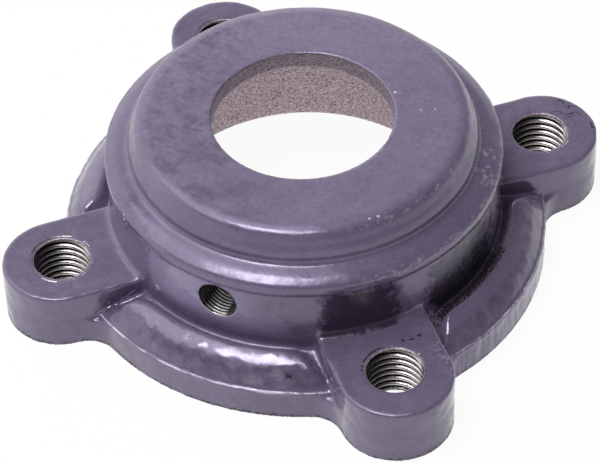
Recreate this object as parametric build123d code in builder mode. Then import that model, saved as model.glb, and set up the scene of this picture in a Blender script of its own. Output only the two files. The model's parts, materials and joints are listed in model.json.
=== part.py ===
from build123d import *
import os
from math import asin, degrees, radians, sqrt, tan

os.makedirs("parts", exist_ok=True)

# All sizes are in millimetres. The origin is the centre of the flat mounting face,
# +Z runs along the bore towards the lip, and the grease port faces -Y.

# Machined inside of the housing
seat_d = 80.0
lip_bore_d = 46.0
lip_thickness = 5.05
relief_depth = 1.15
ring_shoulder_width = 3.5
recess_step = 9.0
recess_depth = 7.2
seat_mouth_chamfer = 0.5

# Casting, radial steps outwards from the bearing seat
neck_wall = 4.2
neck_step_width = 1.5
body_wall = 9.8
collar_overhang = 0.6
collar_shoulder_width = 2.8
flange_overhang = 12.0

# Casting, heights: the neck and collar step down from the top, the flange stands on the mounting face
total_height = 44.4
neck_height = 3.6
neck_step_drop = 0.9
neck_foot_height = 3.9
collar_slope_drop = 2.3
collar_shoulder_drop = 1.6
collar_edge_height = 2.5
collar_undercut = 0.7
flange_edge_height = 8.5
lug_height = 16.4
gutter_root_drop = 4.2

# Casting, rounded corners of the turned outline
neck_edge_round = 2.4
neck_step_root_round = 0.5
neck_step_edge_round = 0.5
collar_root_round = 1.2
collar_shoulder_round = 7.0
collar_edge_round = 0.9
collar_low_round = 0.4
gutter_round = 1.5
flange_edge_round = 0.9

# Bolt lugs
lug_count = 4
first_lug_angle = 45.0
bolt_outset = 3.2
bolt_hole_d = 16.0
bolt_hole_chamfer = 0.4
lug_wall = 6.3
lug_end_outset = 0.8
lug_edge_round = 0.6
lug_root_round = 2.0
lug_blend_r = 8.0

# Raised pads between the lugs
pad_gutter = 4.0
pad_end_gap = 5.6
pad_draft = 38.0
pad_crown_drop = 2.5
pad_slope_width = 3.7
pad_rim_inset = 0.5
pad_shoulder_round = 9.0
pad_corner_r = 4.0
pad_edge_round = 1.4

# Tapped grease port through the wall, under the retaining ring
port_d = 10.0
port_drop = 4.2

# Thin-section ball bearing
bearing_section = 7.5
bearing_width = 7.0
bearing_corner = 0.35
bearing_fit = 0.01
ball_d = 4.0
ball_count = 28
groove_margin = 0.06
race_shoulder = 0.9
shield_seat_depth = 1.0
shield_seat_width = 0.95
shield_thickness = 0.4
shield_step = 0.25
shield_step_width = 0.5
shield_gap = 0.25
cage_thickness = 0.4
cage_gap = 0.3
cage_pocket_gap = 0.08
rivet_d = 0.8
rivet_head_d = 1.3
rivet_head_height = 0.25

# Retaining ring under the bearing
ring_thickness = 2.5
ring_groove_width = 2.6
ring_groove_depth = 1.75
ring_radial_width = 6.0
ring_gap_angle = 32.0
ring_gap_centre = -90.0
ring_ear_r = 3.4
ring_ear_hole_d = 2.6
ring_fit = 0.05

# Radii that follow from the sizes above
seat_r = seat_d / 2
recess_r = seat_r + recess_step
neck_step_r = seat_r + neck_wall
neck_r = neck_step_r - neck_step_width
wall_r = seat_r + body_wall
collar_r = wall_r + collar_overhang
collar_shoulder_r = collar_r - collar_shoulder_width
flange_r = wall_r + flange_overhang
bolt_circle_r = flange_r + bolt_outset
lug_end_r = bolt_hole_d / 2 + lug_wall
lug_centre_r = bolt_circle_r + lug_end_outset
lug_root_r = wall_r + lug_root_round
pad_rim_r = flange_r - pad_rim_inset
pad_shoulder_r = pad_rim_r - pad_slope_width
groove_r = seat_r + ring_groove_depth
ring_outer_r = groove_r - ring_fit
ring_inner_r = ring_outer_r - ring_radial_width
bearing_outer_r = seat_r - bearing_fit
bearing_bore_r = seat_r - bearing_section
pitch_r = (bearing_bore_r + bearing_outer_r) / 2
race_groove_r = ball_d / 2 + groove_margin
inner_shoulder_r = pitch_r - race_groove_r + race_shoulder
outer_shoulder_r = pitch_r + race_groove_r - race_shoulder
rim_step_r = outer_shoulder_r + shield_seat_width
notch_r = inner_shoulder_r - shield_seat_width
cage_inner_r = inner_shoulder_r + cage_gap
cage_outer_r = outer_shoulder_r - cage_gap

# Heights that follow from the sizes above
neck_step_top = total_height - neck_height
neck_step_edge = neck_step_top - neck_step_drop
collar_top = neck_step_edge - neck_foot_height
collar_edge_top = collar_top - collar_slope_drop
collar_shoulder = collar_edge_top + collar_shoulder_drop
collar_low_edge = collar_edge_top - collar_edge_height
gutter_root = lug_height - gutter_root_drop
pad_shoulder_height = lug_height - pad_crown_drop
lip_underside = total_height - lip_thickness
bearing_top = lip_underside - relief_depth
bearing_bottom = bearing_top - bearing_width
bearing_middle = (bearing_top + bearing_bottom) / 2
shield_level = bearing_width / 2 - shield_seat_depth
ring_bottom = bearing_bottom - ring_thickness
port_height = ring_bottom - port_drop
bearing_plane = Plane.XY.offset(bearing_middle)

# How far a cut or a hidden joint runs past the face that it meets, and the slack for choosing edges
overlap = 1.0
tolerance = 0.01


# Plan of one lug, lying along +X: a round end and straight sides
with BuildSketch() as lug_plan:
    with Locations((lug_centre_r, 0)):
        Circle(lug_end_r)
        Rectangle(lug_centre_r, 2 * lug_end_r, align=(Align.MAX, Align.CENTER))

# Plan of the web behind one lug, with a concave arc from the disc to each side of the lug
blend_x = sqrt((flange_r + lug_blend_r) ** 2 - (lug_end_r + lug_blend_r) ** 2)
on_disc = flange_r / (flange_r + lug_blend_r)
disc_point = (blend_x * on_disc, (lug_end_r + lug_blend_r) * on_disc)
with BuildSketch() as web_plan:
    with BuildLine():
        Line((0, 0), disc_point)
        RadiusArc(disc_point, (blend_x, lug_end_r), -lug_blend_r)
        Line((blend_x, lug_end_r), (blend_x, 0))
        mirror(about=Plane.XZ)
    make_face()

# Flange plate under the lugs
with BuildPart() as plate:
    with BuildSketch():
        Circle(flange_r)
        with PolarLocations(0, lug_count, first_lug_angle):
            add(lug_plan.sketch)
            add(web_plan.sketch)
    extrude(amount=flange_edge_height - flange_edge_round)

# Lugs at their full height, with a rounded top edge
with BuildPart() as lugs:
    with BuildSketch():
        with PolarLocations(0, lug_count, first_lug_angle):
            add(lug_plan.sketch)
    extrude(amount=lug_height)
    fillet(faces().sort_by(Axis.Z)[-1].edges(), lug_edge_round)

# Concave roots where the lug tops meet the body wall
with BuildPart() as lug_roots:
    with BuildSketch(Plane.XZ):
        with BuildLine():
            Line((wall_r - overlap, lug_height - overlap), (lug_root_r, lug_height - overlap))
            Line((lug_root_r, lug_height - overlap), (lug_root_r, lug_height))
            RadiusArc((lug_root_r, lug_height), (wall_r, lug_height + lug_root_round), lug_root_round)
            Line((wall_r, lug_height + lug_root_round), (wall_r - overlap, lug_height + lug_root_round))
            Line((wall_r - overlap, lug_height + lug_root_round), (wall_r - overlap, lug_height - overlap))
        make_face()
    revolve(axis=Axis.Z)
    with BuildSketch():
        with PolarLocations(0, lug_count, first_lug_angle):
            Rectangle(flange_r, 2 * (lug_end_r - lug_edge_round), align=(Align.MIN, Align.CENTER))
    extrude(amount=total_height, mode=Mode.INTERSECT)

# Raised pads: a turned band with a shoulder and a slope. Its sides fall away to a deep gutter at the
# body wall and to a valley at the foot of each lug.
with BuildPart() as pads:
    with BuildSketch(Plane.XZ):
        with BuildLine():
            pad_top = FilletPolyline(
                (wall_r - overlap, lug_height),
                (pad_shoulder_r, pad_shoulder_height),
                (pad_rim_r, flange_edge_height),
                radius=pad_shoulder_round,
            )
            Polyline(
                pad_top @ 1,
                (pad_rim_r, flange_edge_height - overlap),
                (wall_r - overlap, flange_edge_height - overlap),
                pad_top @ 0,
            )
        make_face()
    revolve(axis=Axis.Z)
    with BuildSketch(Plane.XY.offset(lug_height)):
        Circle(flange_r + overlap)
        Circle(wall_r + pad_gutter, mode=Mode.SUBTRACT)
        with PolarLocations(0, lug_count, first_lug_angle):
            Rectangle(
                flange_r + 2 * overlap,
                2 * (lug_end_r + pad_end_gap),
                align=(Align.MIN, Align.CENTER),
                mode=Mode.SUBTRACT,
            )
        inner_corners = vertices().group_by(lambda corner: round(Vector(corner).length, 3))[0]
        fillet(inner_corners, pad_corner_r)
    extrude(amount=-(lug_height - flange_edge_height + overlap), taper=-pad_draft, mode=Mode.INTERSECT)
    crown_edges = edges().filter_by(lambda edge: edge.bounding_box().min.Z > flange_edge_height - tolerance)
    crown_edges = crown_edges.filter_by(
        lambda edge: edge.geom_type != GeomType.CIRCLE or wall_r < edge.radius < wall_r + pad_gutter
    )
    fillet(crown_edges, pad_edge_round)


# Housing: the casting is the turned body with plate, lugs and pads, then its machined cuts
with BuildPart() as housing:
    with BuildSketch(Plane.XZ):
        with BuildLine():
            outline = FilletPolyline(
                (flange_r, 0),
                (flange_r, flange_edge_height),
                (wall_r, gutter_root),
                (wall_r, collar_low_edge - collar_undercut),
                (collar_r, collar_low_edge),
                (collar_r, collar_edge_top),
                (collar_shoulder_r, collar_shoulder),
                (neck_step_r, collar_top),
                (neck_step_r, neck_step_edge),
                (neck_r, neck_step_top),
                (neck_r, total_height),
                (0, total_height),
                radius=[
                    flange_edge_round,
                    gutter_round,
                    collar_low_round,
                    collar_low_round,
                    collar_edge_round,
                    collar_shoulder_round,
                    collar_root_round,
                    neck_step_edge_round,
                    neck_step_root_round,
                    neck_edge_round,
                ],
            )
            Polyline(outline @ 1, (0, 0), outline @ 0)
        make_face()
    revolve(axis=Axis.Z)
    add(plate.part)
    add(lugs.part)
    add(lug_roots.part)
    add(pads.part)

    # Spigot recess, bearing seat, relief and lip bore, all turned on the bore axis
    with BuildSketch(Plane.XZ):
        with BuildLine():
            Polyline(
                (0, -overlap),
                (recess_r, -overlap),
                (recess_r, recess_depth),
                (seat_r + seat_mouth_chamfer, recess_depth),
                (seat_r, recess_depth + seat_mouth_chamfer),
                (seat_r, bearing_bottom - ring_groove_width),
                (groove_r, bearing_bottom - ring_groove_width),
                (groove_r, bearing_bottom),
                (seat_r, bearing_bottom),
                (seat_r, bearing_top),
                (seat_r - ring_shoulder_width, bearing_top),
                (seat_r - ring_shoulder_width, lip_underside),
                (lip_bore_d / 2, lip_underside),
                (lip_bore_d / 2, total_height + overlap),
                (0, total_height + overlap),
                close=True,
            )
        make_face()
    revolve(axis=Axis.Z, mode=Mode.SUBTRACT)

    # Tapped bolt holes, chamfered on the lug tops
    with Locations(Plane.XY.offset(lug_height)):
        with PolarLocations(bolt_circle_r, lug_count, first_lug_angle):
            Hole(bolt_hole_d / 2)
    hole_mouths = edges().filter_by(GeomType.CIRCLE).filter_by(lambda edge: edge.radius == bolt_hole_d / 2)
    chamfer(hole_mouths.group_by(Axis.Z)[-1], bolt_hole_chamfer)

    # Grease port, drilled through the wall into the space under the bearing
    with Locations(Plane((0, -wall_r, port_height), x_dir=(1, 0, 0), z_dir=(0, -1, 0))):
        Hole(port_d / 2, depth=wall_r - pitch_r)
housing.part.label = "housing"
export_step(housing.part, "parts/housing.step")


# Bearing rings: the section is a rectangle less the ball groove and a step at each shield
def ring_section(bore_r, rim_r, step_low_r, step_high_r):
    with BuildSketch(Plane.XZ) as section:
        with Locations(((bore_r + rim_r) / 2, bearing_middle)):
            Rectangle(rim_r - bore_r, bearing_width)
        chamfer(vertices(), bearing_corner)
        with Locations((pitch_r, bearing_middle)):
            Circle(race_groove_r, mode=Mode.SUBTRACT)
        for side in (1, -1):
            step_middle = bearing_middle + side * (shield_level + shield_seat_depth / 2)
            with Locations(((step_low_r + step_high_r) / 2, step_middle)):
                Rectangle(step_high_r - step_low_r, shield_seat_depth, mode=Mode.SUBTRACT)
    return section.sketch


with BuildPart() as outer_ring:
    revolve(ring_section(outer_shoulder_r, bearing_outer_r, outer_shoulder_r, rim_step_r), axis=Axis.Z)
outer_ring.part.label = "bearing_outer_ring"
export_step(outer_ring.part, "parts/bearing_outer_ring.step")

with BuildPart() as inner_ring:
    revolve(ring_section(bearing_bore_r, inner_shoulder_r, notch_r, inner_shoulder_r), axis=Axis.Z)
inner_ring.part.label = "bearing_inner_ring"
export_step(inner_ring.part, "parts/bearing_inner_ring.step")

# Shields: a thin pressed plate that sits on the step of the outer ring and clears the inner ring
shield_outer_r = rim_step_r - bearing_fit
shield_inner_r = notch_r + shield_gap
shield_bend_r = outer_shoulder_r - shield_step_width / 2
for name, side in (("shield_upper", 1), ("shield_lower", -1)):
    with BuildPart() as shield:
        with BuildSketch(Plane.XZ):
            with BuildLine():
                Polyline(
                    (shield_outer_r, bearing_middle + side * shield_level),
                    (shield_bend_r, bearing_middle + side * shield_level),
                    (shield_bend_r - shield_step_width, bearing_middle + side * (shield_level + shield_step)),
                    (shield_inner_r, bearing_middle + side * (shield_level + shield_step)),
                    (shield_inner_r, bearing_middle + side * (shield_level + shield_step + shield_thickness)),
                    (
                        shield_bend_r - shield_step_width,
                        bearing_middle + side * (shield_level + shield_step + shield_thickness),
                    ),
                    (shield_bend_r, bearing_middle + side * (shield_level + shield_thickness)),
                    (shield_outer_r, bearing_middle + side * (shield_level + shield_thickness)),
                    close=True,
                )
            make_face()
        revolve(axis=Axis.Z)
    shield.part.label = name
    export_step(shield.part, f"parts/{name}.step")

# Balls, one node each
for number in range(ball_count):
    with BuildPart() as ball:
        with Locations(bearing_plane):
            with PolarLocations(pitch_r, 1, number * 360 / ball_count):
                Sphere(ball_d / 2)
    name = f"ball_{number + 1:02d}"
    ball.part.label = name
    export_step(ball.part, f"parts/{name}.step")

# Ribbon cage: two pressed halves, each a flat band that wraps half of every ball
pocket_inner_r = ball_d / 2 + cage_pocket_gap
pocket_outer_r = pocket_inner_r + cage_thickness
rivet_angle = 180 / ball_count
for name, side in (("cage_upper_half", 1), ("cage_lower_half", -1)):
    with BuildPart() as cage:
        with BuildSketch(bearing_plane):
            Circle(cage_outer_r)
            Circle(cage_inner_r, mode=Mode.SUBTRACT)
        extrude(amount=side * cage_thickness)
        with Locations(bearing_plane):
            with PolarLocations(pitch_r, ball_count):
                Sphere(pocket_outer_r)
        with BuildSketch(bearing_plane):
            Circle(cage_outer_r)
            Circle(cage_inner_r, mode=Mode.SUBTRACT)
        extrude(amount=side * bearing_width, mode=Mode.INTERSECT)
        with Locations(bearing_plane):
            with PolarLocations(pitch_r, ball_count):
                Sphere(pocket_inner_r, mode=Mode.SUBTRACT)
            with PolarLocations(pitch_r, ball_count, rivet_angle):
                Cylinder(rivet_d / 2, bearing_width, mode=Mode.SUBTRACT)
    cage.part.label = name
    export_step(cage.part, f"parts/{name}.step")

# Rivets through the flats of the two halves
with BuildPart() as rivets:
    with Locations(bearing_plane):
        with PolarLocations(pitch_r, ball_count, rivet_angle):
            Cylinder(rivet_d / 2, 2 * (cage_thickness + rivet_head_height))
    for side in (1, -1):
        with BuildSketch(bearing_plane.offset(side * cage_thickness)):
            with PolarLocations(pitch_r, ball_count, rivet_angle):
                Circle(rivet_head_d / 2)
        extrude(amount=side * rivet_head_height)
rivets.part.label = "cage_rivets"
export_step(rivets.part, "parts/cage_rivets.step")

# Retaining ring: a C with two eared ends at the port
ear_angle = ring_gap_angle / 2 + degrees(asin(ring_ear_r / ring_inner_r))
with BuildPart() as retaining_ring:
    with BuildSketch(Plane.XY.offset(ring_bottom)):
        Circle(ring_outer_r)
        Circle(ring_inner_r, mode=Mode.SUBTRACT)
        for side in (1, -1):
            with PolarLocations(ring_inner_r + ring_ear_r / 2, 1, ring_gap_centre + side * ear_angle):
                Circle(ring_ear_r)
        half_gap = groove_r * tan(radians(ring_gap_angle / 2))
        with BuildLine():
            Polyline((0, 0), (-half_gap, -groove_r), (half_gap, -groove_r), close=True)
        make_face(mode=Mode.SUBTRACT)
        for side in (1, -1):
            with PolarLocations(ring_inner_r + ring_ear_r / 2, 1, ring_gap_centre + side * ear_angle):
                Circle(ring_ear_hole_d / 2, mode=Mode.SUBTRACT)
    extrude(amount=ring_thickness)
retaining_ring.part.label = "retaining_ring"
export_step(retaining_ring.part, "parts/retaining_ring.step")
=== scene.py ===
import json
import math
from collections import namedtuple
from types import SimpleNamespace

import bmesh
import bpy
import numpy as np
from mathutils import Matrix, Vector


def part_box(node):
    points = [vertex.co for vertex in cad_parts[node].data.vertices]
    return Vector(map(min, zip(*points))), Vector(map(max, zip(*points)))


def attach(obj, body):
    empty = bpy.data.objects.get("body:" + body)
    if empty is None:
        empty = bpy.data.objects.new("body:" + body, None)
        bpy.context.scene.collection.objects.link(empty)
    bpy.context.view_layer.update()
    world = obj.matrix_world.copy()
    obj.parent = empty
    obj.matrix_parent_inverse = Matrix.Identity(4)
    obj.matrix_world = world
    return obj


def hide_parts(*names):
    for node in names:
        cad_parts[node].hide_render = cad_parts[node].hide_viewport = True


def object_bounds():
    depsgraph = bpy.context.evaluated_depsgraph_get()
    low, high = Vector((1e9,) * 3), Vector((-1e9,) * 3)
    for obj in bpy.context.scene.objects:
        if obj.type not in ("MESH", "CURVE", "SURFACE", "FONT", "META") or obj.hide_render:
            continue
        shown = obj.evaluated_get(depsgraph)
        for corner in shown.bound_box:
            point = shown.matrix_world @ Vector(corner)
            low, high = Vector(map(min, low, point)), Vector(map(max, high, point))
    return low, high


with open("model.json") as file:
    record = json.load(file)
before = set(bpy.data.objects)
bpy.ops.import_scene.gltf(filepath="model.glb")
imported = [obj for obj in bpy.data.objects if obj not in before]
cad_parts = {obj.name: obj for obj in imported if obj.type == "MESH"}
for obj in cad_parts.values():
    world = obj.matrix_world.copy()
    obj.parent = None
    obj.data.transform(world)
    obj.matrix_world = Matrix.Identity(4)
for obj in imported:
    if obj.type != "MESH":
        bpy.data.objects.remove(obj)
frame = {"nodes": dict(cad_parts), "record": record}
cad_low, cad_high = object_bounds()

# Lengths are in metres, in the frame of the CAD model. Those of the marks and of the finishes are in
# millimetres instead, and their angles are in degrees round the bore axis: 0 at the port, 90 on +X.
MM = 0.001


# Places of the casting that the mesh and the finish follow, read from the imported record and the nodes' boxes
def mount(name):
    return next(m for m in frame["record"]["mounts"] if m["name"] == name)


bolt_circle_r = mount("lug_holes")["dims"]["pcd_mm"] * MM / 2
bolt_hole_r = mount("lug_holes")["dims"]["hole_r_mm"] * MM
lug_count = mount("lug_holes")["dims"]["count"]
lip_bore_r = mount("lip_bore")["dims"]["r_mm"] * MM
recess_r = mount("spigot_recess")["dims"]["r_mm"] * MM
recess_depth = mount("spigot_recess")["dims"]["length_mm"] * MM
port_r = mount("grease_port")["dims"]["r_mm"] * MM
port_z = mount("grease_port")["pos_m"][2]
bearing_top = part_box("bearing_outer_ring")[1].z
seat_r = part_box("bearing_outer_ring")[1].x
flange_r = cad_high.x
lug_angles = [math.radians(45 + 360 / lug_count * n) for n in range(lug_count)]
lug_names = ["right_rear", "left_rear", "left_front", "right_front"]
bolt_centres = [(bolt_circle_r * math.cos(a), bolt_circle_r * math.sin(a)) for a in lug_angles]

# Places that neither the record nor a box gives
LUG_TOP_Z = 16.4 * MM
FLANGE_EDGE_Z = 8.5 * MM
WALL_R = 49.8 * MM
GROOVE_LIMIT_R = 42.5 * MM
HOLE_RIM_R = 7.0 * MM

# Photograph's camera: where it stands round the object, its tilt and its field of view
PHOTO_WIDTH = 600
CAMERA_AZIMUTH = math.radians(26.80)
CAMERA_ELEVATION = math.radians(45.17)
CAMERA_ROLL = math.radians(-1.84)
CAMERA_PLACE = Vector((250.198, -498.809, 564.193)) * MM
FOCAL_PIXELS = 3051.09
SENSOR_WIDTH = 36.0
CLIP_NEAR, CLIP_FAR = 0.01, 20

# Lamps: name, azimuth (0 stands in front, on -Y, and 90 on +X), elevation, distance, width, height, radiance
LAMPS = [
    ("overhead_softbox", -20, 74, 1.2, 0.50, 0.45, 10.5),
    ("overhead_glow", -72, 66, 1.2, 1.05, 1.00, 2.0),
    ("table_light", 0, -90, 0.9, 0.60, 0.60, 3.5),
]
LAMP_AIM = Vector((0, 0, 0.02))
SWEEP_AZIMUTH = math.radians(-105)
STUDIO_GREY = (0.16, 0.16, 0.17, 1)
SWEEP_WHITE = (1.30, 1.30, 1.30, 1)
FLOOR_WHITE = (0.86, 0.86, 0.86, 1)
FLOOR_REACH = 4.0
FLOOR_Z = -0.02 * MM

# Marks that the photo shows on the paint, and spots of painted shade, in millimetres: each one's point and its
# radius
NICKS = [
    ((-32.8, 28.2, 44.3), 0.45), ((-35.5, 26.1, 44.0), 0.4), ((-30.6, 30.4, 44.3), 0.3),
    ((20.1, 35.2, 44.4), 0.35), ((26.4, 13.4, 44.4), 0.25), ((29.4, 15.2, 44.4), 0.25),
    ((17.7, 16.8, 44.3), 0.45), ((32.0, -24.8, 44.1), 0.4), ((30.4, -26.4, 44.1), 0.35),
    ((31.0, -25.8, 43.6), 0.3), ((26.1, -43.1, 34.0), 0.35), ((26.2, -43.4, 33.2), 0.3),
    ((-30.0, -40.2, 33.2), 0.35), ((-29.6, -40.7, 32.4), 0.3), ((-28.9, -41.2, 31.4), 0.35),
    ((22.0, -53.0, 12.0), 0.35), ((-18.6, -45.9, 18.4), 0.4),
]
DRIPS = [
    ((-28.4, -41.6, 30.9), 1.0), ((-29.8, -40.6, 31.4), 0.8), ((-27.6, -41.5, 29.6), 0.7),
    ((-18.4, -46.3, 17.4), 0.9), ((-8.6, -49.0, 24.0), 0.5), ((-31.9, -38.2, 29.1), 0.5),
    ((-30.1, -39.6, 28.0), 0.6),
]
BLACK_SPECKS = [
    ((45.2, -34.7, 16.4), 0.8), ((46.6, -33.0, 16.4), 0.6), ((43.8, -36.2, 16.4), 0.45),
    ((21.4, -54.6, 11.4), 0.9), ((-33.0, -60.2, 12.0), 0.7), ((-36.0, -59.8, 10.0), 0.5),
]
CRACKED = [((47.5, 58.6, 16.4), 6.0), ((54.5, 55.5, 16.4), 4.5)]
SCUFFS = [
    ((46.9, 7.4, 35.6), 3.4), ((44.6, 15.0, 35.8), 2.0), ((34.6, -24.6, 43.4), 1.4), ((18.6, 17.0, 44.3), 1.2),
]
# Dark spots: partly painted shade in the neck's groove and beside the lugs, and partly smudges
SHADE_AND_SMUDGE_SPOTS = [
    ((-25.0, -33.6, 38.4), 2.4), ((-21.6, -35.6, 38.4), 2.2), ((-17.0, -38.4, 38.2), 2.0),
    ((-30.0, -37.0, 36.0), 2.2), ((-22.6, -43.6, 35.6), 1.5), ((-19.0, -45.2, 35.6), 1.3),
    ((13.1, -48.0, 26.3), 1.6), ((17.0, -46.8, 22.9), 1.9), ((19.9, -45.7, 18.8), 1.7),
    ((16.4, -47.0, 27.4), 1.0), ((-56.0, -52.0, 8.0), 3.2), ((-60.0, -46.0, 6.0), 2.6),
    ((-50.0, -57.0, 6.0), 2.4), ((-46.0, -42.0, 16.4), 2.6),
]

# Limits of the paint's layers, painted light and shade among them, in millimetres and degrees: heights end in Z,
# radii in R and angles in SIDE
TOP_FACE_Z = (43.85, 44.35)
# How the top face's painted light grows towards the back, and where its left patches lie
BACKWARD_LIGHT_FADE = (-10.0, 42.0)
DARKER_LEFT = (6.0, 24.0)
# Painted light on the wall left of the port: where it starts, how ragged it is, where it fades, and its heights
# and radii
LIT_WALL_START, LIT_WALL_RAGGEDNESS = -26.0, 14.0
LIT_WALL_FADE = (-4.0, 20.0)
LIT_WALL_Z, LIT_WALL_R = (15.5, 33.5), (48.8, 50.6)
NECK_EDGE_Z, NECK_EDGE_R = (42.6, 44.6), (41.0, 43.8)
COLLAR_EDGE_Z, COLLAR_EDGE_R = (32.4, 34.6), (49.2, 51.0)
# Side where the neck's and the collar's edges carry a painted highlight
EDGE_HIGHLIGHT_SIDE = (35.0, 150.0)
PAD_SLOPE_Z, PAD_SLOPE_R = (8.4, 13.6), (56.8, 61.2)
# Side where the pads' slopes carry a painted reflection
PAD_REFLECTION_SIDE = (2.0, 24.0)
# Where the painted highlight along the flange's rim lies
RIM_HIGHLIGHT_Z, RIM_HIGHLIGHT_R = (7.9, 8.75), (61.0, 61.75)
FLANGE_SIDE_R = (61.2, 61.5)
STREAKED_SIDE = (52.0, 112.0)
PATCH_SIDES = ((28.0, 54.5), (62.0, 96.0))
PATCH_TOP_Z = 31.0
PATCH_RAGGEDNESS = 26.0
GUTTER_Z, GUTTER_R = (8.0, 19.0), (49.5, 55.0)
GUTTER_SIDE = (58.0, 122.0)
GLOSSY_PADS_Z, GLOSSY_PADS_R = (8.4, 16.0), (50.5, 52.0)
LIP_UNDERSIDE_Z = 39.6
FACED_Z = 0.5

# Colours of the paint, its marks, its painted light and shade, and the bare iron
ENAMEL_DEEP, ENAMEL_PALE = (0.112, 0.089, 0.150, 1), (0.146, 0.119, 0.190, 1)
MOTTLING = (0.080, 0.061, 0.104, 1)
PORES = (0.045, 0.033, 0.056, 1)
# The top face's paler tones are painted light
TOP_PAINTED_LIGHT_PALE, TOP_PAINTED_LIGHT_DULL = (0.200, 0.168, 0.256, 1), (0.160, 0.131, 0.206, 1)
# Tone of the darker streaky patches on the left of the top face
TOP_LEFT_DARK = (0.062, 0.046, 0.080, 1)
# Painted light: the paler tone of the wall left of the port
WALL_PAINTED_LIGHT = (0.245, 0.206, 0.328, 1)
# Pale tone of the edges' painted highlight and of the scuffs
EDGE_HIGHLIGHT_AND_SCUFF = (0.34, 0.30, 0.37, 1)
# Dark tone of the spots of painted shade and of the smudges
SHADE_AND_SMUDGE = (0.048, 0.036, 0.060, 1)
# Painted shade and painted reflection on the pads' slopes
PAD_PAINTED_SHADE, PAD_PAINTED_REFLECTION = (0.060, 0.045, 0.078, 1), (0.30, 0.26, 0.34, 1)
# Painted highlight along the flange's rim
RIM_PAINTED_HIGHLIGHT = (0.66, 0.62, 0.74, 1)
# Painted highlight and painted shade of the streaks down the flange's side
STREAK_PAINTED_HIGHLIGHT, STREAK_PAINTED_SHADE = (0.36, 0.32, 0.42, 1), (0.05, 0.037, 0.06, 1)
# Tone of the two dark patches on the body wall
DARK_PATCH_TONE = (0.014, 0.009, 0.017, 1)
GUTTER_PALE, GUTTER_DARK = (0.34, 0.30, 0.33, 1), (0.03, 0.02, 0.03, 1)
NICKED_PAINT = (0.48, 0.44, 0.50, 1)
DIRT = (0.010, 0.007, 0.010, 1)
BORED_DARK, BORED_BRIGHT = (0.17, 0.115, 0.122, 1), (0.72, 0.60, 0.62, 1)
FACED_DARK, FACED_BRIGHT = (0.22, 0.205, 0.21, 1), (0.56, 0.54, 0.545, 1)
LIP_DARK, LIP_BRIGHT = (0.055, 0.040, 0.042, 1), (0.37, 0.31, 0.335, 1)
PITS = (0.05, 0.036, 0.037, 1)
PAINT_EDGE = (0.012, 0.010, 0.012, 1)
ENAMEL_SHEEN = (0.80, 0.72, 1.0, 1)

# Each cut thread's bright crests and dark drag lines, and the near-black tone painted as shade in its roots and
# on one side of its bore
LUG_THREAD_TONES = ((0.80, 0.75, 0.75, 1), (0.42, 0.38, 0.38, 1), (0.012, 0.010, 0.010, 1))
PORT_THREAD_TONES = ((1.0, 0.98, 0.98, 1), (0.55, 0.53, 0.53, 1), (0.010, 0.009, 0.009, 1))

# Each steel's tone, roughness and density of turned lines
STEELS = {
    "bearing_steel": ((0.56, 0.56, 0.57), 0.22, 9.0),
    "shield_steel": ((0.50, 0.50, 0.51), 0.34, 6.0),
    "cage_steel": ((0.42, 0.42, 0.43), 0.38, 5.0),
    "ball_steel": ((0.68, 0.68, 0.69), 0.08, 3.0),
    "spring_steel": ((0.10, 0.10, 0.105), 0.42, 4.0),
}

# Mesh of the casting
VOXEL = 0.45 * MM
WELD = 0.001 * MM
FACET_STEPS = 4
FACET_CURVE = 0.75
SMOOTH_ROUNDS = 5
PAINTED_SHARE, CRISP_SHARE = 0.5, 0.12
# Edges that wear softer rounds than the rest: radius, height, and the ring's outer and inner reach
SOFT_EDGES = [(42.2 * MM, 43.9 * MM, 3.8 * MM, 2.2 * MM), (44.2 * MM, 39.9 * MM, 1.7 * MM, 0.8 * MM)]
SOFT_ROUNDS = 60
# Waves of the cast skin and the paint: size and seed, then depth everywhere and added depth on the pads
CAST_WAVES = [
    (11.0, 3, 0.10, 0.0), (4.5, 5, 0.05, 0.0), (2.6, 7, 0.014, 0.075), (1.3, 13, 0.0, 0.03), (5.5, 17, 0.0, 0.05),
]
LATTICE = 32

# Cut threads
THREAD_SEGMENTS = 96
# Side of each bolt hole's thread that is darkened as painted shade
LUG_SHADED_SIDE = math.radians(190)
# Side of the port's thread left light; the rest of it is darkened as painted shade
PORT_LIT_SIDE = math.radians(262)
Thread = namedtuple("Thread", "low high outer_r major_r pitch depth mouth rows_per_pitch")
LUG_THREAD = Thread(
    low=0.9 * MM, high=LUG_TOP_Z - 0.1 * MM, outer_r=bolt_hole_r + 0.25 * MM, major_r=bolt_hole_r - 0.12 * MM,
    pitch=2.0 * MM, depth=1.08 * MM, mouth=0.1 * MM, rows_per_pitch=16,
)
PORT_THREAD = Thread(
    low=seat_r, high=WALL_R, outer_r=port_r + 0.2 * MM, major_r=port_r - 0.08 * MM,
    pitch=1.0 * MM, depth=0.54 * MM, mouth=0.12 * MM, rows_per_pitch=12,
)


def new_object(name, data):
    item = bpy.data.objects.new(name, data)
    bpy.context.scene.collection.objects.link(item)
    return item


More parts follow.
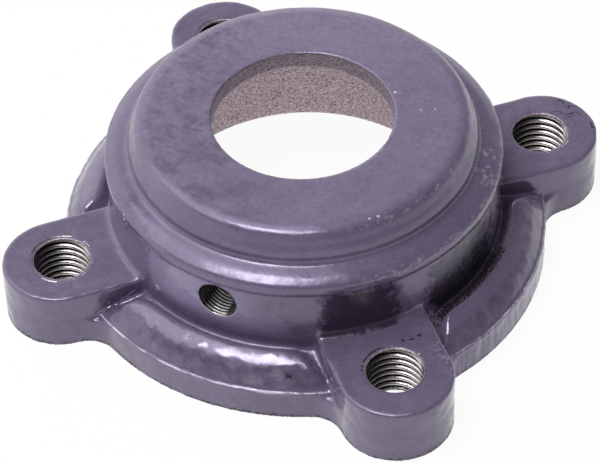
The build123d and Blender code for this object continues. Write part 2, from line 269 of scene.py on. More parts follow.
def make_camera():
    back = Vector((
        math.sin(CAMERA_AZIMUTH) * math.cos(CAMERA_ELEVATION),
        -math.cos(CAMERA_AZIMUTH) * math.cos(CAMERA_ELEVATION),
        math.sin(CAMERA_ELEVATION),
    ))
    right = Vector((math.cos(CAMERA_AZIMUTH), math.sin(CAMERA_AZIMUTH), 0))
    up = back.cross(right)
    turned_right = right * math.cos(CAMERA_ROLL) + up * math.sin(CAMERA_ROLL)
    turned_up = up * math.cos(CAMERA_ROLL) - right * math.sin(CAMERA_ROLL)
    axes = Matrix((turned_right, turned_up, back)).transposed()
    camera = new_object("camera", bpy.data.cameras.new("camera"))
    camera.matrix_world = Matrix.Translation(CAMERA_PLACE) @ axes.to_4x4()
    camera.data.sensor_fit = "HORIZONTAL"
    camera.data.sensor_width = SENSOR_WIDTH
    camera.data.lens = FOCAL_PIXELS / PHOTO_WIDTH * SENSOR_WIDTH
    camera.data.clip_start = CLIP_NEAR
    camera.data.clip_end = CLIP_FAR
    bpy.context.scene.camera = camera


# Node helpers
class Nodes:
    """Short calls that add shader nodes to one tree and return the output sockets."""

    def __init__(self, tree):
        self.tree = tree

    def add(self, kind, **settings):
        node = self.tree.nodes.new(kind)
        for name, value in settings.items():
            setattr(node, name, value)
        return node

    def put(self, socket, value):
        """Links a socket to another node's output, or sets it to a value; None leaves it as it is."""
        if isinstance(value, bpy.types.NodeSocket):
            self.tree.links.new(value, socket)
        elif value is not None:
            socket.default_value = value

    def math(self, operation, a, b=None):
        node = self.add("ShaderNodeMath", operation=operation)
        self.put(node.inputs[0], a)
        self.put(node.inputs[1], b)
        return node.outputs[0]

    def times(self, product, *others):
        for other in others:
            product = self.math("MULTIPLY", product, other)
        return product

    def length(self, a, b):
        return self.math("SQRT", self.math("ADD", self.times(a, a), self.times(b, b)))

    def mix(self, factor, a, b):
        """Mix of two colours."""
        node = self.add("ShaderNodeMix", data_type="RGBA")
        self.put(node.inputs["Factor"], factor)
        self.put(node.inputs[6], a)
        self.put(node.inputs[7], b)
        return node.outputs[2]

    def blend(self, factor, a, b):
        """Mix of two numbers."""
        node = self.add("ShaderNodeMix", data_type="FLOAT")
        self.put(node.inputs["Factor"], factor)
        self.put(node.inputs[2], a)
        self.put(node.inputs[3], b)
        return node.outputs[0]

    def ramp(self, value, low, high, out_low=0.0, out_high=1.0):
        node = self.add("ShaderNodeMapRange", interpolation_type="SMOOTHSTEP")
        for socket, setting in zip(node.inputs, (value, low, high, out_low, out_high)):
            self.put(socket, setting)
        return node.outputs[0]

    def band(self, value, low, high):
        """How far inside the range low to high a value is: negative outside."""
        return self.math("MINIMUM", self.math("SUBTRACT", value, low), self.math("SUBTRACT", high, value))

    def within(self, value, limits, fade):
        """Mask of a range: 0 outside its two limits, and 1 further inside than the fade."""
        return self.ramp(self.band(value, *limits), 0, fade)

    def noise(self, place, scale, detail=3.0, roughness=0.55, stretch=None, distortion=0.0):
        if stretch:
            mapping = self.add("ShaderNodeMapping")
            self.put(mapping.inputs["Vector"], place)
            mapping.inputs["Scale"].default_value = stretch
            place = mapping.outputs[0]
        node = self.add("ShaderNodeTexNoise")
        self.put(node.inputs["Vector"], place)
        for name, value in (("Scale", scale), ("Detail", detail), ("Roughness", roughness),
                            ("Distortion", distortion)):
            node.inputs[name].default_value = value
        return node.outputs[0]

    def specks(self, place, scale):
        node = self.add("ShaderNodeTexVoronoi")
        self.put(node.inputs["Vector"], place)
        node.inputs["Scale"].default_value = scale
        return node.outputs["Distance"]

    def away(self, place, point):
        """Distance in millimetres from a point."""
        node = self.add("ShaderNodeVectorMath", operation="DISTANCE")
        self.put(node.inputs[0], place)
        node.inputs[1].default_value = point
        return node.outputs["Value"]

    def spots(self, place, marks, ragged):
        """One mask of several ragged spots, each given by its point and its radius in millimetres."""
        mask = None
        for point, size in marks:
            distance = self.math("ADD", self.away(place, point), self.times(ragged, size * 1.6))
            spot = self.ramp(distance, size * 1.7, size * 1.9, 1, 0)
            mask = spot if mask is None else self.math("MAXIMUM", mask, spot)
        return mask

    def bump(self, height, distance, strength, normal=None):
        node = self.add("ShaderNodeBump")
        self.put(node.inputs["Height"], height)
        node.inputs["Distance"].default_value = distance
        self.put(node.inputs["Strength"], strength)
        self.put(node.inputs["Normal"], normal)
        return node.outputs[0]

    def attribute(self, name):
        return self.add("ShaderNodeAttribute", attribute_name=name).outputs["Fac"]

    def place(self):
        """The point's place in the CAD frame, in millimetres: the vector, x, y, z and the bore radius."""
        scale = self.add("ShaderNodeVectorMath", operation="SCALE")
        self.put(scale.inputs[0], self.add("ShaderNodeTexCoord").outputs["Object"])
        scale.inputs["Scale"].default_value = 1 / MM
        split = self.add("ShaderNodeSeparateXYZ")
        self.put(split.inputs[0], scale.outputs[0])
        x, y, z = split.outputs
        return SimpleNamespace(vector=scale.outputs[0], x=x, y=y, z=z, radius=self.length(x, y))


def new_material(name):
    material = bpy.data.materials.new(name)
    material.use_nodes = True
    return material, Nodes(material.node_tree), material.node_tree.nodes["Principled BSDF"]


# Layers of the housing's paint, some of them painted light and shade, each laid over the colour below it
def enamel_base(n, at):
    """A lavender grey with cloudy and fine changes of tone."""
    clouds = n.noise(at.vector, 0.06, 3)
    pores = n.noise(at.vector, 0.55, 5, 0.75)
    enamel = n.mix(n.ramp(clouds, 0.3, 0.7), ENAMEL_DEEP, ENAMEL_PALE)
    enamel = n.mix(n.ramp(at.mottle, 0.3, 0.75, 0, 0.4), enamel, MOTTLING)
    return n.mix(n.ramp(pores, 0.57, 0.70, 0, 0.55), enamel, PORES)


def top_face_light_and_patches(n, at, enamel):
    """The top face is painted paler as painted light, most of all towards the back, and it is darker in streaky
    patches on the left.
    """
    cos, sin = math.cos(CAMERA_AZIMUTH), math.sin(CAMERA_AZIMUTH)
    backward = n.math("SUBTRACT", n.times(at.y, cos), n.times(at.x, sin))
    leftward = n.times(n.math("ADD", n.times(at.x, cos), n.times(at.y, sin)), -1.0)
    on_top = n.ramp(at.z, *TOP_FACE_Z)
    tone = n.mix(n.ramp(at.mottle, 0.35, 0.68), TOP_PAINTED_LIGHT_PALE, TOP_PAINTED_LIGHT_DULL)
    # Painted light: the top face is mixed towards a paler tone, most of all towards the back
    enamel = n.mix(n.times(on_top, n.ramp(backward, *BACKWARD_LIGHT_FADE, 0.55, 1.0)), enamel, tone)
    # Darker streaky patches on the left of the top face
    left_clouds = n.noise(at.vector, 0.30, 6, 0.75, stretch=(0.6, 1.0, 1.0), distortion=0.3)
    darkened_left = n.times(on_top, n.ramp(leftward, *DARKER_LEFT, 0.10, 0.55), n.ramp(left_clouds, 0.45, 0.62))
    return n.mix(darkened_left, enamel, TOP_LEFT_DARK)


def wall_painted_light(n, at, enamel):
    """The wall is painted paler from the front left lug to the port as painted light, and this fades out behind
    it.
    """
    shift = n.times(n.math("SUBTRACT", at.ragged, 0.5), LIT_WALL_RAGGEDNESS)
    past_start = n.math("ADD", n.math("SUBTRACT", at.angle, LIT_WALL_START), shift)
    # Painted light on the wall from the front left lug to the port
    lit_wall = n.times(
        n.ramp(past_start, 0.0, 2.5), n.ramp(at.angle, *LIT_WALL_FADE, 1.0, 0.0),
        n.within(at.z, LIT_WALL_Z, 5.0), n.within(at.radius, LIT_WALL_R, 0.3), 0.85,
    )
    return n.mix(lit_wall, enamel, WALL_PAINTED_LIGHT)


def edge_highlights_and_scuffs(n, at, enamel):
    """The neck's and the collar's edges are painted pale on the right, a painted highlight broken up by noise,
    and they are scuffed in places.
    """
    on_neck = n.times(n.within(at.radius, NECK_EDGE_R, 0.6), n.within(at.z, NECK_EDGE_Z, 0.4))
    on_collar = n.times(n.within(at.radius, COLLAR_EDGE_R, 0.3), n.within(at.z, COLLAR_EDGE_Z, 0.5))
    # Painted highlight along the neck's and the collar's edges on the right, with the scuffs added
    pale_edges = n.times(n.math("MAXIMUM", on_neck, on_collar), n.within(at.angle, EDGE_HIGHLIGHT_SIDE, 15.0), 0.8)
    pale_edges = n.math("MAXIMUM", pale_edges, n.spots(at.vector, SCUFFS, at.ragged))
    breakup = n.noise(at.vector, 0.9, 5, 0.75, stretch=(1.0, 0.6, 1.0))
    return n.mix(n.times(pale_edges, n.ramp(breakup, 0.50, 0.62, 0, 0.75)), enamel, EDGE_HIGHLIGHT_AND_SCUFF)


def shade_and_smudges(n, at, enamel):
    # Darkens the spots: painted shade in the neck's groove and beside the lugs, and smudges
    mask = n.times(n.spots(at.vector, SHADE_AND_SMUDGE_SPOTS, at.ragged), n.ramp(at.mottle, 0.35, 0.6, 0.65, 0.15))
    return n.mix(mask, enamel, SHADE_AND_SMUDGE)


def pad_painted_light(n, at, enamel):
    """The pads' slopes are darkened in streaks as painted shade and lit in patches as a painted reflection, and
    the flange's rim carries a broken painted highlight.
    """
    slope_noise = n.noise(at.vector, 0.32, 5, 0.65, distortion=0.6)
    on_slope = n.times(n.within(at.radius, PAD_SLOPE_R, 1.2), n.within(at.z, PAD_SLOPE_Z, 1.0))
    # Painted shade in streaks on the pads' slopes
    enamel = n.mix(n.times(on_slope, n.ramp(slope_noise, 0.38, 0.60, 0.75, 0.1)), enamel, PAD_PAINTED_SHADE)
    reflected = n.ramp(n.noise(at.vector, 0.34, 5, 0.75, stretch=(0.5, 1.1, 1.1)), 0.46, 0.66, 0, 0.55)
    # Painted reflection in patches on the pads' slopes
    enamel = n.mix(n.times(on_slope, n.within(at.angle, PAD_REFLECTION_SIDE, 7), reflected), enamel, PAD_PAINTED_REFLECTION)
    on_edge = n.times(n.within(at.radius, RIM_HIGHLIGHT_R, 0.15), n.within(at.z, RIM_HIGHLIGHT_Z, 0.15))
    # Painted highlight along the flange's rim
    return n.mix(n.times(on_edge, n.ramp(slope_noise, 0.38, 0.54, 0.25, 0.95)), enamel, RIM_PAINTED_HIGHLIGHT)


def flange_streak_light_and_shade(n, at, enamel):
    """Streaks run down the outside of the flange: the pale ones are painted highlight and the dark ones painted
    shade.
    """
    streaks = n.noise(at.vector, 0.9, 3, 0.6, stretch=(1, 1, 0.07))
    on_rim = n.times(n.ramp(at.radius, *FLANGE_SIDE_R), n.within(at.angle, STREAKED_SIDE, 8))
    # Pale streaks are painted highlight, dark streaks painted shade
    enamel = n.mix(n.times(on_rim, n.ramp(streaks, 0.46, 0.66, 0, 0.8)), enamel, STREAK_PAINTED_HIGHLIGHT)
    return n.mix(n.times(on_rim, n.ramp(streaks, 0.30, 0.42, 1, 0)), enamel, STREAK_PAINTED_SHADE)


def dark_wall_patches(n, at):
    """Mask of two ragged dark patches on the body wall. The second reaches the gutter."""
    foot = n.ramp(at.angle, 56.0, 64.0, 14.6, 9.0)
    wall = n.times(n.band(at.z, foot, PATCH_TOP_Z), 1.6)
    first, second = (n.math("MINIMUM", n.band(at.angle, *side), wall) for side in PATCH_SIDES)
    broken = n.times(n.math("SUBTRACT", n.noise(at.vector, 0.28, 6, 0.7), 0.5), PATCH_RAGGEDNESS)
    patch = n.ramp(n.math("ADD", n.math("MAXIMUM", first, second), broken), 0.0, 3.5)
    outer_r = n.ramp(at.angle, 58.0, 64.0, 51.4, 54.2)
    return n.times(patch, n.within(at.radius, (49.0, outer_r), 0.2))


def gutter_specks(n, at, enamel):
    """Rough specks lie in the gutter beside the patches."""
    gutter = n.times(
        n.within(at.angle, GUTTER_SIDE, 8), n.within(at.radius, GUTTER_R, 1.0), n.within(at.z, GUTTER_Z, 2.0),
    )
    enamel = n.mix(n.times(gutter, n.ramp(at.grain, 0.56, 0.66)), enamel, GUTTER_PALE)
    return n.mix(n.times(gutter, n.ramp(at.grain, 0.36, 0.46, 1, 0)), enamel, GUTTER_DARK)


def nicks_and_dirt(n, at, enamel):
    """Nicks show pale, dirt shows black, and fine cracks run beside one bolt hole."""
    crazing = n.math("ABSOLUTE", n.math("SUBTRACT", n.noise(at.vector, 0.17, 2, 0.6), 0.5))
    cracks = n.times(n.ramp(crazing, 0.006, 0.013, 1, 0), n.spots(at.vector, CRACKED, at.ragged))
    dirt = n.times(n.spots(at.vector, BLACK_SPECKS, at.mottle), n.ramp(at.mottle, 0.44, 0.5))
    enamel = n.mix(n.spots(at.vector, NICKS, at.ragged), enamel, NICKED_PAINT)
    return n.mix(n.math("MAXIMUM", dirt, cracks), enamel, DIRT)


# Finishes
def iron_colour(n, at):
    """Pitted iron, reddish where it is bored, neutral on the mounting face and darker on the lip."""
    cloudy = n.noise(at.vector, 1.9, 5, 0.85, stretch=(0.7, 0.7, 1.2))
    bored = n.mix(n.ramp(cloudy, 0.38, 0.60), BORED_DARK, BORED_BRIGHT)
    faced = n.mix(n.ramp(cloudy, 0.38, 0.60), FACED_DARK, FACED_BRIGHT)
    iron = n.mix(n.math("LESS_THAN", at.z, FACED_Z), bored, faced)
    iron = n.mix(n.ramp(n.specks(at.vector, 1.9), 0.10, 0.34, 0.75, 0), iron, PITS)
    lip = n.mix(n.ramp(cloudy, 0.36, 0.62), LIP_DARK, LIP_BRIGHT)
    return n.mix(n.ramp(at.z, LIP_UNDERSIDE_Z - 0.4, LIP_UNDERSIDE_Z), iron, lip)


def bare_masks(n, at):
    """Where the iron is bare: inside the bore, the recess and the bolt holes' rims, and on the mounting face,
    up to a ragged edge of paint."""
    past_recess = n.math("GREATER_THAN", at.z, recess_depth / MM + 0.4)
    limit = n.blend(past_recess, recess_r / MM + 0.5, seat_r / MM + 1.9)
    limit = n.blend(n.math("GREATER_THAN", at.z, LIP_UNDERSIDE_Z), limit, lip_bore_r / MM + 0.12)
    bore = n.math("LESS_THAN", at.radius, limit)
    side = bolt_circle_r / MM * math.sqrt(0.5)
    from_x, from_y = (n.math("SUBTRACT", n.math("ABSOLUTE", value), side) for value in (at.x, at.y))
    from_bolt = n.math("ADD", n.length(from_x, from_y), n.times(at.ragged, 0.3))
    rim = n.math("LESS_THAN", from_bolt, HOLE_RIM_R / MM + 0.42)
    under = n.math("LESS_THAN", at.z, n.ramp(at.ragged, 0.35, 0.70, 0.42, 1.30))
    return n.math("MAXIMUM", bore, rim), under


def housing_finish():
    """Glossy enamel over a rough casting, and bare machined iron inside and underneath."""
    material, n, shader = new_material("enamelled_iron")
    at = n.place()
    at.angle = n.times(n.math("ARCTAN2", at.x, n.times(at.y, -1.0)), math.degrees(1))
    at.ragged = n.noise(at.vector, 0.8, 4, 0.65)
    at.mottle = n.noise(at.vector, 0.9, 4, 0.6)
    at.grain = n.noise(at.vector, 3.2, 4, 0.7)

    enamel = enamel_base(n, at)
    for layer in (top_face_light_and_patches, wall_painted_light, edge_highlights_and_scuffs, shade_and_smudges, pad_painted_light, flange_streak_light_and_shade):
        enamel = layer(n, at, enamel)
    patch = dark_wall_patches(n, at)
    enamel = n.mix(n.times(patch, 0.94), enamel, DARK_PATCH_TONE)
    for layer in (gutter_specks, nicks_and_dirt):
        enamel = layer(n, at, enamel)

    inside, under = bare_masks(n, at)
    bare = n.math("MAXIMUM", inside, under)
    paint_edge = n.times(under, n.math("GREATER_THAN", at.z, 0.03))
    iron = n.mix(paint_edge, iron_colour(n, at), PAINT_EDGE)
    n.put(shader.inputs["Base Color"], n.mix(bare, enamel, iron))

    # The clear coat shows most at grazing angles and on the pads, and least on the dark patches
    grazing = n.add("ShaderNodeLayerWeight")
    grazing.inputs["Blend"].default_value = 0.35
    on_pads = n.times(n.ramp(at.radius, *GLOSSY_PADS_R), n.within(at.z, GLOSSY_PADS_Z, 0.6))
    coat = n.ramp(grazing.outputs["Facing"], 0.75, 1.0, 0.20, 0.8)
    coat = n.math("MAXIMUM", coat, n.times(on_pads, 0.42))
    coat = n.times(coat, n.math("SUBTRACT", 1.0, n.times(patch, 0.75)))
    gloss = n.ramp(n.noise(at.vector, 0.35, 3), 0.3, 0.75, 0.19, 0.36)
    gloss = n.math("SUBTRACT", gloss, n.times(on_pads, 0.06))
    n.put(shader.inputs["Roughness"], n.blend(bare, gloss, 0.5))
    n.put(shader.inputs["Metallic"], n.times(inside, 0.55))
    n.put(shader.inputs["Coat Weight"], n.times(n.math("SUBTRACT", 1.0, bare), coat))
    shader.inputs["Coat Roughness"].default_value = 0.12
    shader.inputs["Specular IOR Level"].default_value = 1.0
    shader.inputs["Specular Tint"].default_value = ENAMEL_SHEEN

    peel = n.bump(n.noise(at.vector, 0.75, 2, 0.5), 0.00012, n.blend(bare, 0.4, 0.0))
    n.put(shader.inputs["Normal"], n.bump(at.grain, 0.00006, n.blend(bare, 0.03, 0.6), peel))
    return material


def thread_finish(name, bright, dark, root):
    """Freshly cut thread: bright crests and fine drag lines, with its roots and one side of its bore darkened as
    painted shade.
    """
    material, n, shader = new_material(name)
    drag = n.noise(n.place().vector, 2.0, 4, 0.7, stretch=(1, 1, 6))
    tone = n.mix(n.ramp(drag, 0.3, 0.75), bright, dark)
    # Painted shade: the thread is darkened towards its root tone on one side of its bore
    tone = n.mix(n.times(n.attribute("painted_shade"), 0.85), tone, root)
    # Painted shade: the roots take the near-black root tone
    n.put(shader.inputs["Base Color"], n.mix(n.ramp(n.attribute("stand"), 0.3, 0.9), root, tone))
    n.put(shader.inputs["Roughness"], n.ramp(drag, 0.3, 0.8, 0.22, 0.42))
    shader.inputs["Metallic"].default_value = 1.0
    n.put(shader.inputs["Normal"], n.bump(drag, 0.00003, 0.5))
    return material


def steel_finish(name, tone, roughness, lines):
    """Ground or pressed steel: turned lines round the bore axis and slight stains."""
    material, n, shader = new_material(name)
    at = n.place()
    profile = n.add("ShaderNodeCombineXYZ")
    n.put(profile.inputs[0], at.radius)
    n.put(profile.inputs[1], at.z)
    turned = n.noise(profile.outputs[0], lines, 3, 0.6)
    stain = n.noise(at.vector, 0.25, 3)
    light = tuple(min(1, c * 1.12) for c in tone) + (1,)
    deep = tuple(c * 0.72 for c in tone) + (1,)
    colour = n.mix(n.ramp(turned, 0.3, 0.7), light, tone + (1,))
    n.put(shader.inputs["Base Color"], n.mix(n.ramp(stain, 0.45, 0.8), colour, deep))
    n.put(shader.inputs["Roughness"], n.ramp(turned, 0.3, 0.7, roughness * 0.8, roughness * 1.25))
    shader.inputs["Metallic"].default_value = 1.0
    n.put(shader.inputs["Normal"], n.bump(turned, 0.00002, 0.4))
    return material


def dress_nodes():
    finishes = {name: steel_finish(name, *look) for name, look in STEELS.items()}
    for part in frame["record"]["subparts"]:
        if part["material_slot"] in finishes:
            mesh = frame["nodes"][part["node"]].data
            mesh.materials.clear()
            mesh.materials.append(finishes[part["material_slot"]])


# Casting
def value_noise(points, scale, seed):
    """Smooth noise from -1 to 1 at each point: random values on a lattice, blended by cubic steps."""
    lattice = np.random.default_rng(seed).uniform(-1, 1, (LATTICE, LATTICE, LATTICE))
    scaled = points / scale
    cell = np.floor(scaled).astype(int)
    part = scaled - cell
    part = part * part * (3 - 2 * part)
    total = np.zeros(len(points))
    for corner in np.ndindex(2, 2, 2):
        weight = np.ones(len(points))
        for axis in range(3):
            weight *= part[:, axis] if corner[axis] else 1 - part[:, axis]
        index = (cell + corner) % LATTICE
        total += weight * lattice[index[:, 0], index[:, 1], index[:, 2]]
    return total


def read(items, what, width, kind=float):
    """A mesh's own values as an array with one row of the given width for each item."""
    values = np.empty(len(items) * width, kind)
    items.foreach_get(what, values)
    return values.reshape(-1, width)


def smooth_step(values, low, high):
    t = np.clip((values - low) / (high - low), 0, 1)
    return t * t * (3 - 2 * t)


def curved_reference(mesh):
    """The CAD mesh with its flat facets rounded out to follow the exact normals that it was packed with."""
    mesh.calc_loop_triangles()
    count = len(mesh.loop_triangles)
    corner = read(mesh.vertices, "co", 3)[read(mesh.loop_triangles, "vertices", 3, int)]
    normal = read(mesh.corner_normals, "vector", 3)[read(mesh.loop_triangles, "loops", 3, int)]

    # Each triangle is cut into small ones. A share says how much of each corner a new point takes.
    steps = FACET_STEPS
    shares = np.array([(a, b, steps - a - b) for a in range(steps + 1) for b in range(steps + 1 - a)]) / steps
    index = {tuple(np.round(share * steps).astype(int)): k for k, share in enumerate(shares)}
    small = []
    for a in range(steps):
        for b in range(steps - a):
            c = steps - a - b
            small.append((index[(a, b, c)], index[(a + 1, b, c - 1)], index[(a, b + 1, c - 1)]))
            if c > 1:
                small.append((index[(a + 1, b, c - 1)], index[(a + 1, b + 1, c - 2)], index[(a, b + 1, c - 1)]))
    flat = np.einsum("sk,tkx->tsx", shares, corner)
    curved = np.zeros_like(flat)
    for k in range(3):
        away = np.einsum("tsx,tx->ts", flat - corner[:, None, k], normal[:, k])
        curved += shares[None, :, k, None] * (flat - away[..., None] * normal[:, None, k])
    points = (1 - FACET_CURVE) * flat + FACET_CURVE * curved
    faces = (np.array(small)[None] + np.arange(count)[:, None, None] * len(shares)).reshape(-1, 3)
    reference = bpy.data.meshes.new("reference")
    reference.from_pydata(points.reshape(-1, 3), [], faces)
    return reference


def even_mesh(source):
    """An even mesh of the CAD node, drawn onto the curved reference."""
    casting = new_object("cast_housing", source.data.copy())
    target = new_object("reference", curved_reference(source.data))
    work = bmesh.new()
    work.from_mesh(casting.data)
    bmesh.ops.remove_doubles(work, verts=work.verts, dist=WELD)
    work.to_mesh(casting.data)
    work.free()

    remesh = casting.modifiers.new("remesh", "REMESH")
    remesh.mode = "VOXEL"
    remesh.voxel_size = VOXEL
    wrap = casting.modifiers.new("wrap", "SHRINKWRAP")
    wrap.target = target
    wrap.wrap_method = "NEAREST_SURFACEPOINT"
    evaluated = casting.evaluated_get(bpy.context.evaluated_depsgraph_get())
    fine = bpy.data.meshes.new_from_object(evaluated)
    casting.modifiers.clear()
    casting.data = fine
    bpy.data.objects.remove(target)
    return casting


def smooth(points, edges, share, rounds):
    """Draws each point towards the mean of its neighbours, by its own share of the way in each round."""
    neighbours = np.maximum(np.bincount(edges.ravel(), minlength=len(points)), 1)[:, None]
    for _ in range(rounds):
        total = np.zeros_like(points)
        for axis in range(3):
            total[:, axis] += np.bincount(edges[:, 0], points[edges[:, 1], axis], len(points))
            total[:, axis] += np.bincount(edges[:, 1], points[edges[:, 0], axis], len(points))
        points += (total / neighbours - points) * share[:, None]


def painted_points(points, radius):
    """True on the painted outside, and False on the turned inside, the bottom and the holes."""
    x, y, z = points.T
    inside = (radius < GROOVE_LIMIT_R) & (z < bearing_top + 1.2 * MM)
    inside |= (radius < recess_r + 0.3 * MM) & (z < recess_depth + 0.3 * MM)
    inside |= radius < lip_bore_r + 0.3 * MM
    bottom = z < 0.6 * MM
    hole = (np.hypot(x, z - port_z) < port_r + 0.4 * MM) & (y < 0)
    for centre in bolt_centres:
        hole |= np.hypot(x - centre[0], y - centre[1]) < bolt_hole_r + 0.6 * MM
    return ~(inside | bottom | hole)


def relief(points):
    """How far the cast skin and the paint stand out from the solid at each point."""
    x, y, z = points.T
    radius = np.hypot(x, y)

    # Waves are deepest on the pads, where the paint lies thick, and lie a little below the solid's surface
    on_pads = smooth_step(radius, 51 * MM, 53 * MM) * smooth_step(z, 17.5 * MM, 15.5 * MM)
    height = np.zeros(len(points))
    for size, seed, everywhere, added in CAST_WAVES:
        height += (everywhere + added * on_pads) * MM * value_noise(points, size * MM, seed)
    height -= 0.06 * MM

    # Ripples cross the left of the top face
    ripple = value_noise(points * np.array([0.45, 1.0, 1.0]), 2.4 * MM, 11)
    leftward = -(x * math.cos(CAMERA_AZIMUTH) + y * math.sin(CAMERA_AZIMUTH))
    on_top = smooth_step(z, 43.6 * MM, 44.2 * MM) * smooth_step(leftward, 8 * MM, 22 * MM)
    height += 0.06 * MM * ripple * on_top

    # A bead of paint runs round the flange's upper edge
    bead = (radius - flange_r + 0.35 * MM) ** 2 + (z - FLANGE_EDGE_Z + 0.25 * MM) ** 2
    height += 0.3 * MM * np.exp(-bead / (0.5 * MM) ** 2)

    for marks, depth in ((NICKS, -0.35), (DRIPS, 0.5)):
        for place, size in marks:
            distance = np.linalg.norm(points - np.array(place) * MM, axis=1)
            height += depth * MM * size * np.exp(-(distance / (0.8 * size * MM)) ** 2)
    return height


def close_rims(points):
    """Draws the top rim of each bolt hole in over the first turn of its thread, as a tap leaves it."""
    start = bolt_hole_r + 0.1 * MM
    reach = bolt_hole_r + 2.2 * MM
    for centre in bolt_centres:
        away = points[:, :2] - centre
        distance = np.hypot(away[:, 0], away[:, 1])
        drawn = HOLE_RIM_R + np.clip(distance - start, 0, None) * (reach - HOLE_RIM_R) / (reach - start)
        share = smooth_step(points[:, 2], LUG_TOP_Z - 1.0 * MM, LUG_TOP_Z - 0.45 * MM) * (distance < reach)
        scale = 1 + share * (drawn / np.maximum(distance, MM) - 1)
        points[:, :2] = centre + away * scale[:, None]


def make_casting():
    casting = even_mesh(frame["nodes"]["housing"])
    fine = casting.data
    points = read(fine.vertices, "co", 3)
    edges = read(fine.edges, "vertices", 2, int)
    radius = np.hypot(points[:, 0], points[:, 1])
    painted = painted_points(points, radius)
    smooth(points, edges, np.where(painted, PAINTED_SHARE, CRISP_SHARE), SMOOTH_ROUNDS)

    share = np.zeros(len(points))
    for edge_r, edge_z, outer, inner in SOFT_EDGES:
        ring = np.hypot(radius - edge_r, points[:, 2] - edge_z)
        share = np.maximum(share, 0.5 * smooth_step(ring, outer, inner))
    smooth(points, edges[np.any(share[edges] > 0, axis=1)], share, SOFT_ROUNDS)
    fine.vertices.foreach_set("co", points.ravel())
    fine.update()

    normals = read(fine.vertex_normals, "vector", 3)
    fade = smooth_step(points[:, 2], 0.6 * MM, 1.6 * MM) * painted
    points += normals * (relief(points) * fade)[:, None]
    close_rims(points)
    points = np.clip(points, list(cad_low), list(cad_high))
    fine.vertices.foreach_set("co", points.ravel())
    fine.update()
    fine.shade_smooth()
    fine.materials.clear()
    fine.materials.append(housing_finish())
    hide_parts("housing")
    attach(casting, "housing_body")


# Threads
def thread_depth(height, pitch, depth):
    """How far the thread stands in from its major radius, for a 60 degree profile with flat crest and root."""
    phase = (height / pitch) % 1.0
    flank = 5 / 16
    root_half = 1 / 16
    away = np.minimum(phase, 1 - phase)
    return depth * np.clip((away - root_half) / flank, 0, 1)


def make_thread(name, size, matrix, finish, painted_shade, ends=None):
    """A closed sleeve with a helical thread inside. A function of the angle round its bore says how far it is
    darkened there as painted shade, and its ends may follow curved walls given by ends(x)."""
    length = size.high - size.low
    rows = int(round(length / size.pitch * size.rows_per_pitch))
    angles = np.arange(THREAD_SEGMENTS) * 2 * math.pi / THREAD_SEGMENTS
    rings = []
    stands = []
    for row in range(rows + 1):
        height = size.low + length * row / rows
        stand = thread_depth(height - size.pitch * angles / (2 * math.pi), size.pitch, size.depth)
        room = np.minimum(size.high - height, height - size.low)
        limit = np.clip(room - size.mouth, 0, None)
        rings.append((height, size.major_r - np.minimum(stand, limit)))
        stands.extend(stand / size.depth if room > size.mouth else np.ones(THREAD_SEGMENTS))
    stands.extend(np.ones(2 * THREAD_SEGMENTS))
    for height in (size.high, size.low):
        rings.append((height, np.full(THREAD_SEGMENTS, size.outer_r)))
    vertices = []
    for height, radii in rings:
        for angle, radius in zip(angles, radii):
            x, y, z = radius * math.cos(angle), radius * math.sin(angle), height
            if ends:
                start, stop = ends(x)
                z = start + (height - size.low) / length * (stop - start)
            vertices.append(tuple(matrix @ Vector((x, y, z))))
    faces = []
    for ring in range(len(rings)):
        following = (ring + 1) % len(rings)
        for k in range(THREAD_SEGMENTS):
            after = (k + 1) % THREAD_SEGMENTS
            faces.append((
                ring * THREAD_SEGMENTS + k, following * THREAD_SEGMENTS + k,
                following * THREAD_SEGMENTS + after, ring * THREAD_SEGMENTS + after,
            ))
    mesh = bpy.data.meshes.new(name)
    mesh.from_pydata(vertices, [], faces)
    work = bmesh.new()
    work.from_mesh(mesh)
    bmesh.ops.recalc_face_normals(work, faces=work.faces)
    work.to_mesh(mesh)
    work.free()
    shaded = np.tile(painted_shade(angles), len(rings))
    for attribute, values in (("stand", stands), ("painted_shade", shaded)):
        mesh.attributes.new(attribute, "FLOAT", "POINT").data.foreach_set("value", np.array(values, np.float32))
    mesh.shade_smooth()
    mesh.materials.append(finish)
    thread = new_object(name, mesh)
    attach(thread, "housing_body")


# Painted shade on one side of each bolt hole's thread
def lug_painted_shade(angles):
    return smooth_step(np.cos(angles - LUG_SHADED_SIDE), -0.1, 0.9)


# Painted shade over the port's thread, except on its lit side
def port_painted_shade(angles):
    return 1.12 - 1.12 * smooth_step(np.cos(angles - PORT_LIT_SIDE), 0.72, 0.95)


def port_ends(x):
    """Where the port starts in the seat and ends in the body wall, at a distance x from its axis."""
    return (
        math.sqrt((seat_r + 0.05 * MM) ** 2 - x * x),
        math.sqrt((WALL_R - 0.12 * MM) ** 2 - x * x),
    )


def make_threads():
    lug_finish = thread_finish("cut_thread", *LUG_THREAD_TONES)
    for centre, name in zip(bolt_centres, lug_names):
        matrix = Matrix.Translation((*centre, 0))
        make_thread("lug_thread_" + name, LUG_THREAD, matrix, lug_finish, lug_painted_shade)
    facing = Matrix.Translation((0, 0, port_z)) @ Matrix.Rotation(math.radians(90), 4, "X")
    port_finish = thread_finish("port_thread", *PORT_THREAD_TONES)
    make_thread("port_thread", PORT_THREAD, facing, port_finish, port_painted_shade, port_ends)


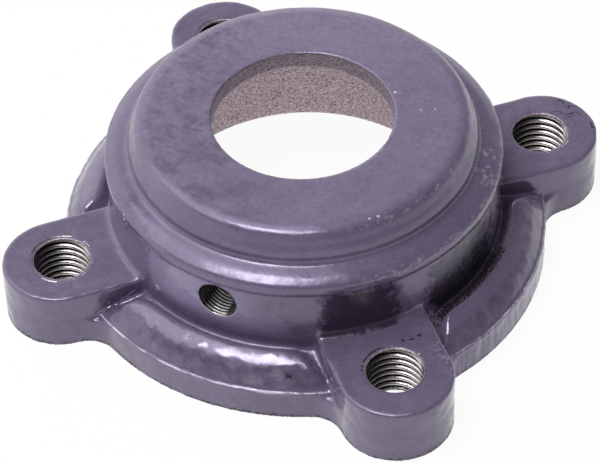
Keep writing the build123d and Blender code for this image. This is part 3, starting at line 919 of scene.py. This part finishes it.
# Floor, lamps and world
def make_floor():
    """A glowing white floor, clear from below like a light table, so that the underside can be looked at."""
    mesh = bpy.data.meshes.new("floor")
    corners = ((-1, -1), (1, -1), (1, 1), (-1, 1))
    mesh.from_pydata([(x * FLOOR_REACH, y * FLOOR_REACH, FLOOR_Z) for x, y in corners], [], [(0, 1, 2, 3)])
    material, n, shader = new_material("floor")
    shader.inputs["Base Color"].default_value = FLOOR_WHITE
    shader.inputs["Roughness"].default_value = 0.9
    glow = n.add("ShaderNodeEmission")
    glow.inputs["Strength"].default_value = 1.0
    path = n.add("ShaderNodeLightPath")
    seen = n.math("MAXIMUM", path.outputs["Is Camera Ray"], path.outputs["Is Glossy Ray"])
    seen = n.math("MAXIMUM", seen, path.outputs["Is Transmission Ray"])
    mix = n.add("ShaderNodeMixShader")
    n.put(mix.inputs[0], n.times(seen, 0.94))
    n.put(mix.inputs[1], shader.outputs[0])
    n.put(mix.inputs[2], glow.outputs[0])
    below = n.add("ShaderNodeNewGeometry").outputs["Backfacing"]
    through = n.add("ShaderNodeMixShader")
    n.put(through.inputs[0], n.math("MAXIMUM", below, path.outputs["Is Shadow Ray"]))
    n.put(through.inputs[1], mix.outputs[0])
    n.put(through.inputs[2], n.add("ShaderNodeBsdfTransparent").outputs[0])
    n.put(material.node_tree.nodes["Material Output"].inputs["Surface"], through.outputs[0])
    mesh.materials.append(material)
    floor = new_object("floor", mesh)


def make_lamp(name, azimuth, elevation, distance, width, height, radiance):
    """A softbox that faces the object."""
    a, e = math.radians(azimuth), math.radians(elevation)
    towards = Vector((math.sin(a) * math.cos(e), -math.cos(a) * math.cos(e), math.sin(e)))
    lamp = bpy.data.lights.new(name, "AREA")
    lamp.shape = "RECTANGLE"
    lamp.size = width
    lamp.size_y = height
    lamp.energy = radiance * math.pi * width * height
    holder = new_object(name, lamp)
    holder.location = towards * distance + LAMP_AIM
    holder.rotation_mode = "QUATERNION"
    holder.rotation_quaternion = towards.to_track_quat("Z", "Y")


def make_world():
    """A grey studio, where a white sweep glows round the horizon and climbs on the far left. It is black below
    the horizon, and the camera sees plain white."""
    world = bpy.data.worlds.new("studio")
    world.use_nodes = True
    bpy.context.scene.world = world
    n = Nodes(world.node_tree)
    direction = n.add("ShaderNodeTexCoord").outputs["Generated"]
    split = n.add("ShaderNodeSeparateXYZ")
    n.put(split.inputs[0], direction)
    up = split.outputs[2]
    climb = n.add("ShaderNodeVectorMath", operation="DOT_PRODUCT")
    n.put(climb.inputs[0], direction)
    climb.inputs[1].default_value = (math.sin(SWEEP_AZIMUTH), -math.cos(SWEEP_AZIMUTH), 0)
    towards_sweep = climb.outputs["Value"]
    low_glow = n.times(n.ramp(up, 0.05, 0.55, 1, 0), n.ramp(towards_sweep, -0.5, 0.7, 0.20, 1.0))
    high_glow = n.times(n.ramp(up, 0.40, 0.95, 1, 0), n.ramp(towards_sweep, 0.25, 0.75, 0, 1.0))
    sky = n.mix(n.math("MAXIMUM", low_glow, high_glow), STUDIO_GREY, SWEEP_WHITE)
    sky = n.mix(n.math("GREATER_THAN", up, 0.0), (0, 0, 0, 1), sky)
    seen = n.add("ShaderNodeLightPath").outputs["Is Camera Ray"]
    background = world.node_tree.nodes["Background"]
    n.put(background.inputs["Color"], n.mix(seen, sky, (1, 1, 1, 1)))
    background.inputs["Strength"].default_value = 1.0
    bpy.context.scene.view_settings.view_transform = "Standard"


make_camera()
make_floor()
for lamp_settings in LAMPS:
    make_lamp(*lamp_settings)
make_world()
dress_nodes()
make_casting()
make_threads()
